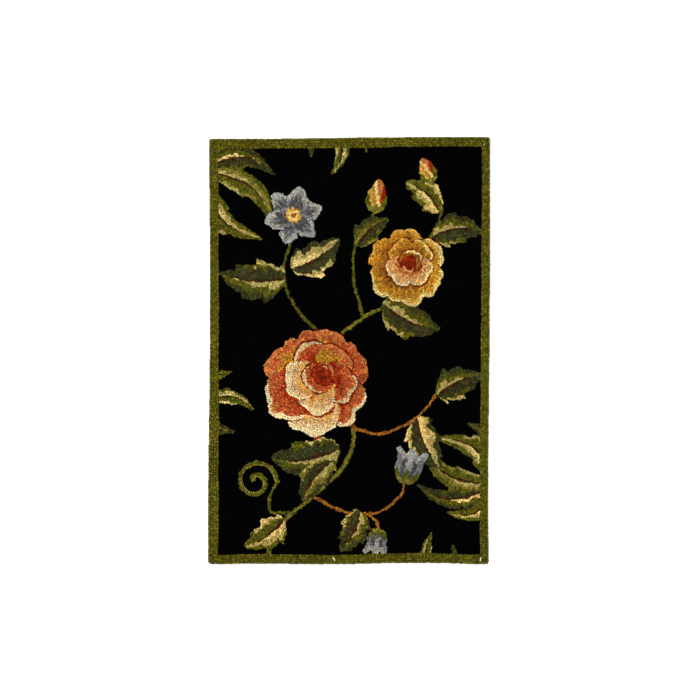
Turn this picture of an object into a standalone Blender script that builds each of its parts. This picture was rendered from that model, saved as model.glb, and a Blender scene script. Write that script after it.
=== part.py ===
"""Hooked wool pile rug, lying flat on a floor.

The rug is one piece: wool loops hooked through a canvas, the olive border in the same canvas as
the black field. It is therefore one solid, which reaches as far as the loops do. Its outline
wanders a few millimetres, its corners are round, and the outer row of loops rolls over at the rim.

Units are metres, +Z is up, and the origin is under the middle of the rug, on the floor.
"""

import math
from collections import namedtuple

import bmesh
import bpy

# Driving sizes
WIDTH = 0.505
LENGTH = 0.768
THICKNESS = 0.0095  # canvas and pile together
RIM_ROUND = 0.0045  # radius of the outer row of loops
HEM_ROUND = 0.001  # radius where the canvas turns under
EDGE_BAND = 0.008  # width of the border strip with close points; the swells grow over it
SWELL = 0.0005  # how far the hooked surface sinks between its high places
SWELL_SPACING = 0.17  # from one high place to the next
FIELD_STEP = 0.024  # spacing of the surface's points away from the rim
RIM_STEPS = 4  # facets across the rolled rim
BAND_STEPS = 2  # rows of points between the rim and the field

# Radius of each corner, seen from above. No two are turned quite alike.
CornerRow = namedtuple("CornerRow", "side end radius")  # 1 is right or top, -1 left or bottom
CORNERS = (
    CornerRow(-1, -1, 0.0065),
    CornerRow(1, -1, 0.0036),
    CornerRow(-1, 1, 0.0032),
    CornerRow(1, 1, 0.0048),
)

# How far the edges wander from a true rectangle. Offsets are in millimetres.
MILLIMETRE = 0.001
SideRow = namedtuple("SideRow", "share_up left right")  # positive is towards +X
SIDES = (
    SideRow(0.00, -2.3, -2.0),
    SideRow(0.17, -1.8, -2.9),
    SideRow(0.29, -1.0, -2.2),
    SideRow(0.41, 0.4, -1.1),
    SideRow(0.52, 1.1, -0.1),
    SideRow(0.76, 1.0, 0.8),
    SideRow(1.00, -0.4, 0.7),
)
EndRow = namedtuple("EndRow", "share_across bottom top")  # positive is towards +Y
ENDS = (
    EndRow(0.00, -0.7, -2.4),
    EndRow(0.20, 0.2, -2.2),
    EndRow(0.40, -1.0, -1.1),
    EndRow(0.55, -0.2, 0.1),
    EndRow(0.65, 1.6, 0.5),
    EndRow(0.82, 1.6, 1.2),
    EndRow(1.00, -1.6, 1.3),
)

WOOL_COLOUR = (0.006, 0.006, 0.007, 1.0)
WOOL_ROUGHNESS = 0.95


def clear_scene():
    """Removes the objects that the startup file holds."""
    for obj in list(bpy.data.objects):
        bpy.data.objects.remove(obj, do_unlink=True)


def wander(rows, column, share):
    """An edge's offset at a share of its length, eased smoothly from one row of its table to the next."""
    share = min(max(share, 0.0), 1.0)
    for before, after in zip(rows, rows[1:]):
        if share <= after[0]:
            part = (share - before[0]) / (after[0] - before[0])
            eased = part * part * (3 - 2 * part)
            start, end = getattr(before, column), getattr(after, column)
            return (start + (end - start) * eased) * MILLIMETRE
    return getattr(rows[-1], column) * MILLIMETRE


def stops(length):
    """Places of the grid lines from one edge to the other: close together over the rolled rim and
    the strip beside it, and evenly spaced between."""
    rim = [
        RIM_ROUND * (1 - math.cos(math.pi / 2 * step / RIM_STEPS))
        for step in range(RIM_STEPS + 1)
    ]
    band = [
        RIM_ROUND + (EDGE_BAND - RIM_ROUND) * step / BAND_STEPS
        for step in range(1, BAND_STEPS + 1)
    ]
    insets = rim + band
    across = length - 2 * EDGE_BAND
    cells = round(across / FIELD_STEP)
    field = [EDGE_BAND + across * cell / cells for cell in range(1, cells)]
    far_side = [length - inset for inset in reversed(insets)]
    return [place - length / 2 for place in insets + field + far_side]


def corner_radius(x, y):
    """Radius of the corner nearest to a point."""
    side, end = math.copysign(1, x), math.copysign(1, y)
    return next(row.radius for row in CORNERS if (row.side, row.end) == (side, end))


def round_corner(x, y):
    """Moves a point of the square corner on to a quarter disc, and returns it with its distance in
    from the rim. Points outside the corners stay where they are."""
    radius = corner_radius(x, y)
    from_side = WIDTH / 2 - abs(x)
    from_end = LENGTH / 2 - abs(y)
    if from_side >= radius or from_end >= radius:
        return x, y, min(from_side, from_end)
    across = 1 - from_side / radius
    along = 1 - from_end / radius
    disc_x = across * math.sqrt(1 - along * along / 2)
    disc_y = along * math.sqrt(1 - across * across / 2)
    new_x = math.copysign(WIDTH / 2 - radius * (1 - disc_x), x)
    new_y = math.copysign(LENGTH / 2 - radius * (1 - disc_y), y)
    return new_x, new_y, radius * (1 - math.hypot(disc_x, disc_y))


def bend_outline(x, y):
    """Carries a point of the true rectangle with the edges as they wander."""
    share_across = x / WIDTH + 0.5
    share_up = y / LENGTH + 0.5
    left = wander(SIDES, "left", share_up)
    right = wander(SIDES, "right", share_up)
    bottom = wander(ENDS, "bottom", share_across)
    top = wander(ENDS, "top", share_across)
    return x + left + (right - left) * share_across, y + bottom + (top - bottom) * share_up


def pile_height(x, y, inset):
    """Height of the loops' tops: a quarter circle over the rim, and low swells over the field."""
    rolled = max(RIM_ROUND - inset, 0.0)
    drop = RIM_ROUND - math.sqrt(max(RIM_ROUND**2 - rolled**2, 0.0))
    turn = 2 * math.pi / SWELL_SPACING
    wave = math.sin(turn * x + math.sin(turn * y / 2)) * math.cos(turn * y)
    fade = min(inset / EDGE_BAND, 1.0)
    return THICKNESS - drop - SWELL * fade * (1 - wave) / 2


def place_surface(grid):
    """Spreads a unit grid over the rug. Returns the rim's points with their places on the true
    rectangle."""
    lines_x, lines_y = stops(WIDTH), stops(LENGTH)
    rim = {}
    for vertex in grid.verts:
        column = round((vertex.co.x + 0.5) * (len(lines_x) - 1))
        row = round((vertex.co.y + 0.5) * (len(lines_y) - 1))
        flat_x, flat_y = lines_x[column], lines_y[row]
        x, y, inset = round_corner(flat_x, flat_y)
        if vertex.is_boundary:
            rim[vertex] = (flat_x, flat_y)
        vertex.co = (*bend_outline(x, y), pile_height(x, y, inset))
    return rim


def drop_wall(solid, rim, inset, height):
    """Extrudes the rim's edges to a lower ring, moved in by the inset. Returns the new ring."""
    edges = [edge for edge in solid.edges if edge.is_boundary]
    corners = {tuple(vertex.co): flat for vertex, flat in rim.items()}
    made = bmesh.ops.extrude_edge_only(solid, edges=edges)["geom"]
    ring = {}
    for vertex in (item for item in made if isinstance(item, bmesh.types.BMVert)):
        flat_x, flat_y = corners[tuple(vertex.co)]
        ring[vertex] = (flat_x, flat_y)
        x, y, _ = round_corner(flat_x, flat_y)
        x *= 1 - 2 * inset / WIDTH
        y *= 1 - 2 * inset / LENGTH
        vertex.co = (*bend_outline(x, y), height)
    return ring


def centre_on_floor(solid):
    """Puts the origin under the middle of the rug's bounding box."""
    xs = [vertex.co.x for vertex in solid.verts]
    ys = [vertex.co.y for vertex in solid.verts]
    middle_x = (min(xs) + max(xs)) / 2
    middle_y = (min(ys) + max(ys)) / 2
    bmesh.ops.translate(solid, verts=solid.verts, vec=(-middle_x, -middle_y, 0.0))


def make_rug():
    """The whole rug: the hooked surface, its wall down to the canvas, and a flat underside."""
    columns, rows = len(stops(WIDTH)) - 1, len(stops(LENGTH)) - 1
    solid = bmesh.new()
    bmesh.ops.create_grid(solid, x_segments=columns, y_segments=rows, size=0.5)
    rim = place_surface(solid)
    wall = drop_wall(solid, rim, 0.0, HEM_ROUND)
    drop_wall(solid, wall, HEM_ROUND, 0.0)
    foot = [edge for edge in solid.edges if edge.is_boundary]
    bmesh.ops.holes_fill(solid, edges=foot, sides=0)
    centre_on_floor(solid)
    bmesh.ops.recalc_face_normals(solid, faces=solid.faces)
    mesh = bpy.data.meshes.new("rug")
    solid.to_mesh(mesh)
    solid.free()
    mesh.shade_smooth()
    mesh.set_sharp_from_angle(angle=math.radians(40))
    return bpy.data.objects.new("rug", mesh)


def wool_material():
    """Matt wool, in the black of the field that covers most of the rug."""
    wool = bpy.data.materials.new("hooked_wool")
    wool.use_nodes = True
    shader = wool.node_tree.nodes["Principled BSDF"]
    shader.inputs["Base Color"].default_value = WOOL_COLOUR
    shader.inputs["Roughness"].default_value = WOOL_ROUGHNESS
    shader.inputs["Metallic"].default_value = 0.0
    return wool


def main():
    clear_scene()
    collection = bpy.data.collections.new("hooked_wool_rug")
    bpy.context.scene.collection.children.link(collection)
    rug = make_rug()
    rug.data.materials.append(wool_material())
    collection.objects.link(rug)


main()
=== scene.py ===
# %% [markdown]
# # A hooked wool rug
# This rug is one thing made of very many: about thirty thousand loops of wool yarn, each pulled up
# through a canvas. The flowers on it are nothing but the colour of each loop. So the scene is made
# as the rug is: draw the design, lay out the rows, then pull up the loops.

from collections import namedtuple

import bpy
import numpy as np
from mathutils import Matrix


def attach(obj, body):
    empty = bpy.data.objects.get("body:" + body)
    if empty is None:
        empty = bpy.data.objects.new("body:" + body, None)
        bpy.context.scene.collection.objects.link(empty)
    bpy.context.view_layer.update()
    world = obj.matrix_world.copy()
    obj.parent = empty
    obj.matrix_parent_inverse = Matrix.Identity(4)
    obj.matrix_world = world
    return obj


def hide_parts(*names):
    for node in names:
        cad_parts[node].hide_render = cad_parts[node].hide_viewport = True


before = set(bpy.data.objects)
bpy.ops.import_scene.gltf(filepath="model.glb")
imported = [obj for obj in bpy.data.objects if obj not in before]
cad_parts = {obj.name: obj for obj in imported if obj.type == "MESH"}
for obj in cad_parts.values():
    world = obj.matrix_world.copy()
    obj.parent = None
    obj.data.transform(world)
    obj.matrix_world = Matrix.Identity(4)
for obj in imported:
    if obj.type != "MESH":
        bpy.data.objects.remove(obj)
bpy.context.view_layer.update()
MM = 0.001

# %% [markdown]
# ## The outline
# A hand-hooked edge is never quite straight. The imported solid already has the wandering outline,
# so its rim is read from the frame and everything else is measured inwards from it. Distances in
# these cells are in millimetres, because the loops are; the meshes turn them into metres.

# %% Read the outline from the solid
RIM_ROUND = 4.5  # radius of the outer row of loops, seen from the side
RIM_HEIGHT = 5.0  # where the rolled rim meets the wall
RIM_SLACK = 0.05  # how near that height a point of the rim lies
EDGE_BAND = 8.0  # the strip by the edge over which the swells grow
CORNER_ROUNDS = np.array([[6.5, 3.2], [3.6, 4.8]])  # radii: left then right, bottom then top
CORNER = 11.0  # a side's line keeps this far from the rug's corners
WANDER = 9.0  # and no point of it lies further in than this
PILE_TOP = RIM_HEIGHT + RIM_ROUND
SWELL = 0.5  # how far the pile sinks between its high places
SWELL_SPACING = 170.0

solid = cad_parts["rug"].data
corners = np.empty(3 * len(solid.vertices), np.float32)
solid.vertices.foreach_get("co", corners)
corners = corners.reshape(-1, 3).astype(float) / MM
rim = corners[np.abs(corners[:, 2] - RIM_HEIGHT) < RIM_SLACK]
REACH = np.abs(rim[:, :2]).max(0)


def side_line(axis, sign):
    """One side of the outline as (places along it, places across it): the rim's points near that
    side and clear of the corners, sorted along the side."""
    along_it = 1 - axis
    near = sign * rim[:, axis] > REACH[axis] - WANDER
    clear = np.abs(rim[:, along_it]) < REACH[along_it] - CORNER
    line = rim[near & clear]
    order = np.argsort(line[:, along_it])
    return line[order, along_it], line[order, axis]


LEFT, RIGHT = side_line(0, -1), side_line(0, 1)
BOTTOM, TOP = side_line(1, -1), side_line(1, 1)


def from_sides(x, y):
    """Distances in from the left, right, bottom and top sides."""
    return (
        x - np.interp(y, *LEFT), np.interp(y, *RIGHT) - x,
        y - np.interp(x, *BOTTOM), np.interp(x, *TOP) - y,
    )


def inset(x, y):
    """Distance in from the outline: the least distance to the four sides, and in a corner the
    corner's radius less the distance from the corner's centre."""
    left, right, bottom, top = from_sides(x, y)
    from_side, from_end = np.minimum(left, right), np.minimum(bottom, top)
    radius = CORNER_ROUNDS[(x > 0).astype(int), (y > 0).astype(int)]
    in_corner = (from_side < radius) & (from_end < radius)
    round_it = radius - np.hypot(radius - from_side, radius - from_end)
    return np.where(in_corner, round_it, np.minimum(from_side, from_end))


def pile_top(x, y):
    """Height of the loops' tops: a quarter circle over the rim, and low swells over the field."""
    deep = inset(x, y)
    rolled = np.maximum(RIM_ROUND - deep, 0)
    drop = RIM_ROUND - np.sqrt(np.maximum(RIM_ROUND**2 - rolled**2, 0))
    turn = 2 * np.pi / SWELL_SPACING
    wave = np.sin(turn * x + np.sin(turn * y / 2)) * np.cos(turn * y)
    return PILE_TOP - drop - SWELL * np.clip(deep / EDGE_BAND, 0, 1) * (1 - wave) / 2


print("rim points:", len(rim), "reach in mm:", REACH.round(1))

# %% [markdown]
# ## The yarns
# A hooker works from a basket of dyed wool, a family of shades for each motif. Each row of this
# table is one yarn: the basket it belongs to, and its colour as a screen shows it. Blender mixes
# light, so the colours are turned into linear values before they are used.

# %% The basket of yarns
Yarn = namedtuple("Yarn", "name basket red green blue")
YARNS = (
    Yarn("black", "ground", 2, 2, 3),
    Yarn("olive", "border", 95, 90, 19),
    Yarn("moss", "leaf", 92, 90, 19),
    Yarn("pine", "leaf", 63, 62, 29),
    Yarn("fern", "leaf", 130, 119, 44),
    Yarn("sage", "leaf", 182, 163, 91),
    Yarn("bark", "leaf", 64, 35, 14),
    Yarn("maroon", "coral", 130, 33, 7),
    Yarn("brick", "coral", 156, 48, 12),
    Yarn("coral", "coral", 184, 84, 42),
    Yarn("orange", "coral", 198, 118, 60),
    Yarn("peach", "coral", 216, 166, 101),
    Yarn("blush", "coral", 217, 187, 134),
    Yarn("cream", "coral", 235, 214, 165),
    Yarn("russet", "amber", 118, 46, 8),
    Yarn("brown", "amber", 153, 95, 30),
    Yarn("amber", "amber", 188, 132, 36),
    Yarn("gold", "amber", 214, 168, 68),
    Yarn("straw", "amber", 231, 203, 126),
    Yarn("slate", "blue", 84, 84, 86),
    Yarn("blue", "blue", 127, 125, 124),
    Yarn("mist", "blue", 166, 165, 156),
)
NUMBER = {yarn.name: number for number, yarn in enumerate(YARNS)}
OUTSIDE = -1


def linear(screen):
    """Screen values from 0 to 255 as linear light: the usual screen curve, undone."""
    share = np.asarray(screen, float) / 255
    return np.where(share <= 0.04045, share / 12.92, ((share + 0.055) / 1.055) ** 2.4)


SCREEN = np.array([[yarn.red, yarn.green, yarn.blue] for yarn in YARNS])
DYES = linear(SCREEN)
LIGHTNESS = SCREEN.mean(1) / 255
print("yarns:", len(YARNS), "in baskets:", sorted({yarn.basket for yarn in YARNS}))

# %% [markdown]
# ## The drawing board
# Before any hooking, the design is drawn on the canvas. Here the canvas is a fine grid of squares,
# smaller than a loop, and each square holds the number of a yarn. A motif is a formula that says
# which squares it covers, so it is painted in one go over a window of the grid, with no loop over
# squares. What is painted later lies on top.

# %% Lay out the board
SQUARE = 0.65  # the side of a square
MARGIN = 2.0  # how far the board reaches past the rug
across = np.arange(-REACH[0] - MARGIN, REACH[0] + MARGIN, SQUARE)
along = np.arange(-REACH[1] - MARGIN, REACH[1] + MARGIN, SQUARE)
BOARD_X, BOARD_Y = np.meshgrid(across, along)
board = np.full(BOARD_X.shape, NUMBER["black"], np.int16)


def window(low, high):
    """The rows and columns of the board between two corners."""
    columns = slice(*np.searchsorted(across, [low[0], high[0]]))
    rows = slice(*np.searchsorted(along, [low[1], high[1]]))
    return rows, columns


def around(x, y, reach):
    """The window within a reach of a point."""
    return window((x - reach, y - reach), (x + reach, y + reach))


def square_at(x, y):
    """The row and column of the square that is nearest to each place."""
    column = np.clip(np.rint((x - across[0]) / SQUARE).astype(int), 0, len(across) - 1)
    row = np.clip(np.rint((y - along[0]) / SQUARE).astype(int), 0, len(along) - 1)
    return row, column


def paint(spot, *layers):
    """Gives yarns to the squares of a window. Each layer is a mask and its yarn, and lies over the
    layers before it."""
    for mask, yarn in layers:
        board[spot][mask] = NUMBER[yarn]


def turned(spot, x, y, degrees, size=1):
    """Distances along and across a direction, from a point, over a window, as shares of a size."""
    angle = np.radians(degrees)
    dx, dy = BOARD_X[spot] - x, BOARD_Y[spot] - y
    u = dx * np.cos(angle) + dy * np.sin(angle)
    v = dy * np.cos(angle) - dx * np.sin(angle)
    return u / size, v / size


def share_of(distance, half):
    """A distance as a share of a half width, which may be nothing."""
    return np.abs(distance) / np.maximum(half, 0.001)


def saw(phase):
    """Climbs evenly from 0 to 1 in each turn, then falls back at once, as a leaf's teeth do."""
    return phase - np.floor(phase)


def zigzag(phase):
    """Straight slopes between 0 and 1, as where two yarns are worked into each other."""
    return np.abs(2 * saw(phase) - 1)


def ruffle(angle, seed, waves=(3, 5, 8), sizes=(0.5, 0.32, 0.18)):
    """A soft wave round a circle: three sines of the angle, with phases drawn from the seed."""
    phases = np.random.default_rng(seed).uniform(0, 2 * np.pi, len(waves))
    return sum(size * np.sin(wave * angle + phase) for wave, size, phase in zip(waves, sizes, phases))


print("board squares:", board.shape)

# %% [markdown]
# ## Leaves
# Hooked leaves are drawn in two halves, a lit one and a dark one. Short strokes are worked in along
# the veins, so that the shades bite into each other: a pale patch lies along the midrib, a dark
# brown one faces it, and the margins are darker again. A leaf here is a bowed centre line with a
# width that swells and tapers along it. The width is multiplied by a saw for the lobes, which point
# to the tip.

# %% A leaf
Leaf = namedtuple("Leaf", "x y turn length width bow lit dark pale lobes")


def draw_leaf(leaf):
    """s runs from 0 at the stalk to 1 at the tip. The midrib bows off the chord by 4 bow s (1 - s),
    and the half width is a power of sin(pi s^0.72), times a saw for the lobes. t is the distance
    from the midrib as a share of the half width. A ray is a slanting zigzag of s and t, and each
    patch is where t is under or over a bound that the ray moves."""
    middle = np.radians(leaf.turn)
    spot = around(
        leaf.x + 0.5 * leaf.length * np.cos(middle),
        leaf.y + 0.5 * leaf.length * np.sin(middle),
        0.55 * leaf.length + abs(leaf.bow) + 0.6 * leaf.width,
    )
    u, v = turned(spot, leaf.x, leaf.y, leaf.turn)
    s = np.clip(u / leaf.length, 0, 1)
    off = v - 4 * leaf.bow * s * (1 - s)
    half = 0.5 * leaf.width * np.sin(np.pi * s**0.72) ** 0.8
    phase = leaf.turn / 37
    if leaf.lobes:
        lobe = saw(leaf.lobes * s**1.15 + 0.4 * (off > 0) + phase)
        half = half * (0.74 + 0.30 * lobe**1.4 + 0.07 * saw(2.7 * leaf.lobes * s + phase))
    blade = (u > 0) & (u < leaf.length) & (np.abs(off) < half)
    lit_side, dark_side = blade & (off > 0), blade & (off <= 0)
    t = share_of(off, half)
    rays = max(leaf.lobes, 3)
    ray = 0.62 * zigzag(rays * s - 0.6 * t + phase) + 0.38 * zigzag(2.6 * rays * s - t + 2 * phase)
    margin = (s > 0.12) & (t > 0.84 - 0.40 * s + 0.30 * (ray - 0.5))
    beside_midrib = (s > 0.02) & (t < (0.20 + 0.74 * ray) * (1 - s / 0.88))
    facing_it = (s > 0.10) & (s < 0.80) & (t < (0.02 + 0.32 * ray) * (1 - s))
    midrib = (s > 0.05) & (s < 0.74) & (np.abs(off) < 1.4)
    paint(
        spot,
        (lit_side, leaf.lit),
        (dark_side, leaf.dark),
        (lit_side & margin, leaf.dark),
        (lit_side & beside_midrib, leaf.pale),
        (dark_side & (s < 0.66) & (t > 0.46 + 0.40 * ray), leaf.lit),
        (dark_side & (s < 0.50) & (t > 0.66 + 0.30 * ray), leaf.pale),
        (dark_side & facing_it, "bark"),
        (blade & midrib, "bark"),
    )


# %% [markdown]
# ## Stems and tendrils
# A stem is one or two rows of loops that follow a line. The line is a smooth curve through a few
# points, and the stroke is every square nearer to it than half its width, which tapers.

# %% Strokes
Stem = namedtuple("Stem", "thick thin yarn light points")


def smooth_line(points, steps=10):
    """Points of a smooth curve through the given ones: between two of them it follows the cubic
    whose slope at each point is half the step from the point before to the point after."""
    points = np.asarray(points, float)
    padded = np.vstack([2 * points[0] - points[1], points, 2 * points[-1] - points[-2]])
    a, b, c, d = (padded[shift : len(points) - 1 + shift, None] for shift in range(4))
    f = np.linspace(0, 1, steps, endpoint=False)[None, :, None]
    cubic = 2 * b + (c - a) * f + (2 * a - 5 * b + 4 * c - d) * f**2 + (3 * b - a - 3 * c + d) * f**3
    return np.vstack([0.5 * cubic.reshape(-1, 2), points[-1:]])


def draw_stroke(line, thick, thin, yarn):
    """Paints the squares near a line: for each short piece of it, the squares nearer than the half
    width at the nearest point of the piece."""
    half = np.linspace(thick, thin, len(line)) / 2
    spot = window(line.min(0) - thick, line.max(0) + thick)
    x, y = BOARD_X[spot], BOARD_Y[spot]
    mask = np.zeros(x.shape, bool)
    for start, end, wide, narrow in zip(line, line[1:], half, half[1:]):
        step = end - start
        share = np.clip(((x - start[0]) * step[0] + (y - start[1]) * step[1]) / (step @ step), 0, 1)
        gap = np.hypot(x - start[0] - share * step[0], y - start[1] - share * step[1])
        mask |= gap < wide + (narrow - wide) * share
    paint(spot, (mask, yarn))


def draw_stem(stem):
    """A stem, with a thinner and lighter row along its upper side where it has one."""
    line = smooth_line(stem.points)
    draw_stroke(line, stem.thick, stem.thin, stem.yarn)
    if stem.light:
        draw_stroke(line + (1.3, 1.3), 0.45 * stem.thick, 0.4 * stem.thin, stem.light)


Scroll = namedtuple("Scroll", "x y turn size hand turns")


def draw_scroll(scroll):
    """A curled tendril: the radius shrinks evenly to a fifth while the angle makes its turns. A
    thinner and lighter row follows its inner side."""
    size = scroll.size
    share = np.linspace(0, 1, 34)
    angle = np.radians(scroll.turn) + scroll.hand * 2 * np.pi * scroll.turns * share
    rays = np.stack([np.cos(angle), np.sin(angle)], 1)
    radius = size * (1 - 0.8 * share)[:, None]
    centre = np.array([scroll.x, scroll.y])
    draw_stroke(centre + radius * rays, 0.2 * size, 0.26 * size, "moss")
    draw_stroke(centre + (radius - 0.05 * size) * rays, 0.08 * size, 0.1 * size, "fern")


# %% [markdown]
# ## Foliage at the border
# The border cuts off a few large curling leaves, as if the pattern went on outside the rug. Each
# is a fan of narrow leaves from one root, and every leaf hooks over at its tip, away from the
# middle one. They are drawn from the outer leaves to the middle one.

# %% A fan of foliage
Fan = namedtuple("Fan", "x y turn size spread lobes seed")
FAN_SHADES = (("moss", "pine", "straw"), ("sage", "moss", "straw"), ("fern", "moss", "sage"))


def draw_fan(fan):
    """Lobe k points to the fan's turn plus its share of the spread. Its length falls off with the
    square of that share, and its bow bends it away from the middle. The chord turns back by the
    bow's own angle, so that the lobes part at their tips and not at the root."""
    dice = np.random.default_rng(fan.seed)
    shares = np.linspace(-0.5, 0.5, fan.lobes)
    for k in np.argsort(-np.abs(shares), kind="stable"):
        share = shares[k]
        length = fan.size * (1 - 0.9 * share**2) * dice.uniform(0.86, 1.08)
        bow = 0.20 * fan.size * np.sign(share + 0.01)
        turn = fan.turn + fan.spread * share - 12 * np.sign(share + 0.01)
        draw_leaf(Leaf(fan.x, fan.y, turn, length, 0.30 * fan.size, bow, *FAN_SHADES[k % 3], 2))


# %% [markdown]
# ## Petals
# A petal of the two big blooms is a ruffled disc with a notch in its rim. It is shaded from its
# dark base outwards in bands, and the bands end in long teeth, because a hooker fingers one shade
# into the next. Where the rim curls over, it shows as a pale lip along one side. The shadow that a
# petal throws on those behind it is widest at its outer rim.

# %% A shaded petal
Band = namedtuple("Band", "start yarn")
Petal = namedtuple("Petal", "ring turn radius notch shades lip lip_turn")
LIP_DEPTH = 0.22  # how far a lip reaches in from the rim, as a share of the petal's radius


def on_ring(bloom, radius, degrees):
    """A point at a radius and an angle from a bloom's centre."""
    angle = np.radians(degrees)
    return bloom[0] + radius * np.cos(angle), bloom[1] + radius * np.sin(angle)


def draw_petal(spot, bloom, size, petal, seed):
    """The petal is a disc about a point of its ring, all as shares of the bloom's size. Its radius
    is multiplied by 1 + 0.09 times a ruffle of the angle, less 0.035 times the cosine of four times
    the angle from the petal's direction, which squares it, and less a bell curve for the notch. The
    shadow's width follows the cosine of that angle, ruffled, and falls only on worked squares.
    The shade rises with the distance out from the bloom, and with the distance from the disc's own
    centre on its far side. Zigzags across the petal give the fingers and streaks. Each band starts
    at its own shade, and the lip's depth is a ruffled root of the cosine of the angle from its turn."""
    x, y = on_ring(bloom, petal.ring * size, petal.turn)
    radius = petal.radius * size
    away = np.radians(petal.turn)
    dx, dy = BOARD_X[spot] - x, BOARD_Y[spot] - y
    angle, distance = np.arctan2(dy, dx), np.hypot(dx, dy)
    from_notch = np.angle(np.exp(1j * (angle - away - 0.5 * np.sin(2.4 * seed))))
    outline = 1 + 0.09 * ruffle(angle, seed) - 0.035 * np.cos(4 * (angle - away))
    edge = radius * (outline - petal.notch * np.exp(-((from_notch / 0.30) ** 2)))
    shadow = 0.4 + 0.034 * size * np.clip(np.cos(angle - away) + 0.5 * ruffle(angle, seed + 2), 0, 1)
    worked = board[spot] != NUMBER["black"]
    paint(spot, ((distance < edge + shadow) & worked, petal.shades[0].yarn))
    outward, sideways = turned(spot, x, y, petal.turn, radius)
    reach = 0.5 + 0.5 * np.clip(outward + 0.5, 0, 1)
    uneven = (4.2 * petal.radius / 0.4) * sideways + 0.9 * np.sin(2.3 * sideways + seed)
    finger = 0.22 * (zigzag(uneven) - 0.5) + 0.10 * ruffle(2 * sideways, seed + 5)
    streak = 0.16 * (zigzag(3.1 * sideways * (1.3 - 0.5 * outward) + 0.37 * seed) > 0.78)
    shade = 0.275 * (1 + outward) + 0.45 * distance / edge * reach + finger + streak
    petal_area = distance < edge
    paint(spot, *[(petal_area & (shade >= band.start), band.yarn) for band in petal.shades])
    if petal.lip:
        facing = np.cos(angle - np.radians(petal.lip_turn)) - 0.12
        depth = LIP_DEPTH * np.clip(facing, 0, 1) ** 0.6
        depth = depth * (1 + 0.4 * ruffle(angle, seed + 9, (4, 7, 11)))
        paint(spot, (petal_area & (distance > edge * (1 - depth)) & (depth > 0.04), petal.lip))


# %% [markdown]
# ## Wrapped petals
# The heart of a rose is a bud, whose petals wrap round each other. From the front each shows as a
# disc with a pale rim on one side only, where it curls over, and the next, smaller disc lies a
# little off its centre. So a heart is a table of discs, largest first.

# %% A rose's heart
Wrap = namedtuple("Wrap", "ring turn radius deep body rim")


def draw_heart(spot, bloom, size, wraps, seed):
    """The shade of a wrap is the distance from its centre as a share of its edge, times 0.72 plus
    0.28 of the cosine of the angle from its turn, so it is highest on the side that curls over. A
    zigzag of the angle gives the fingers between the shades."""
    for k, wrap in enumerate(wraps):
        x, y = on_ring(bloom, wrap.ring * size, wrap.turn)
        dx, dy = BOARD_X[spot] - x, BOARD_Y[spot] - y
        angle, distance = np.arctan2(dy, dx), np.hypot(dx, dy)
        edge = size * wrap.radius * (1 + 0.09 * ruffle(angle, seed + k, waves=(2, 3, 5)))
        curl = 0.72 + 0.28 * np.cos(angle - np.radians(wrap.turn))
        finger = 0.14 * (zigzag(5 * angle / np.pi + 0.5 * np.sin(3 * angle + k)) - 0.5)
        shade = distance / edge * curl + finger
        paint(
            spot,
            (distance < edge + 1.8 * (1 + ruffle(angle, seed + k + 4)), wrap.deep),
            ((distance < edge) & (shade > 0.34), wrap.body),
            ((distance < edge) & (shade > 0.76), wrap.rim),
        )


# %% [markdown]
# ## A whole bloom
# A bloom is worked from the back to the front: the broad petals behind, the smaller ones before
# them, and the heart. The rose nods, so the last two stand about a centre of their own. The tables
# below list the petals in the order they are worked in, so that later ones overlap the earlier.

# %% Put a bloom together
Bloom = namedtuple("Bloom", "x y size nod_x nod_y back front heart seed heart_seed")
SEED_STEP = 3  # from one petal's seed to the next
FRONT_SEED = 21  # from the first back petal's seed to the first front petal's


def draw_petals(spot, centre, size, petals, seed):
    """Petals about one centre, each with a seed of its own."""
    for k, petal in enumerate(petals):
        draw_petal(spot, centre, size, petal, seed + SEED_STEP * k)


def draw_bloom(bloom):
    """The petals behind, and then the front ones and the heart about the centre that has nodded, by
    shares of the bloom's size."""
    size = bloom.size
    spot = around(bloom.x, bloom.y, 1.2 * size)
    middle = bloom.x + bloom.nod_x * size, bloom.y + bloom.nod_y * size
    draw_petals(spot, (bloom.x, bloom.y), size, bloom.back, bloom.seed)
    draw_petals(spot, middle, size, bloom.front, bloom.seed + FRONT_SEED)
    draw_heart(spot, middle, size, bloom.heart, bloom.heart_seed)


# %% [markdown]
# ## The coral bloom
# A full, open rose. The light falls on it from below, so its lower petals have shell pink and cream
# lips, and the upper ones are in coral, ochre and brick with maroon depths. Six broad petals lie
# behind and five smaller ones stand before them.

# %% The coral bloom's petals
DEEP = (Band(0, "maroon"), Band(0.24, "brick"), Band(0.54, "coral"), Band(0.92, "orange"))
OCHRE = (
    Band(0, "maroon"), Band(0.14, "brick"), Band(0.34, "amber"), Band(0.66, "orange"),
    Band(0.80, "coral"),
)
FLAME = (Band(0, "maroon"), Band(0.16, "brick"), Band(0.46, "coral"), Band(0.80, "orange"))
SHELL = (
    Band(0, "brick"), Band(0.16, "coral"), Band(0.26, "gold"), Band(0.42, "peach"),
    Band(0.62, "blush"), Band(0.90, "cream"),
)
CORAL_BACK = (
    Petal(0.50, 82, 0.46, 0.10, OCHRE, "orange", 60),
    Petal(0.49, 26, 0.46, 0.12, DEEP, None, 0),
    Petal(0.50, 322, 0.46, 0.14, FLAME, "cream", 296),
    Petal(0.51, 262, 0.47, 0.16, SHELL, "cream", 250),
    Petal(0.49, 146, 0.47, 0.13, OCHRE, "orange", 170),
    Petal(0.51, 206, 0.47, 0.12, FLAME, "cream", 232),
)
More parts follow.
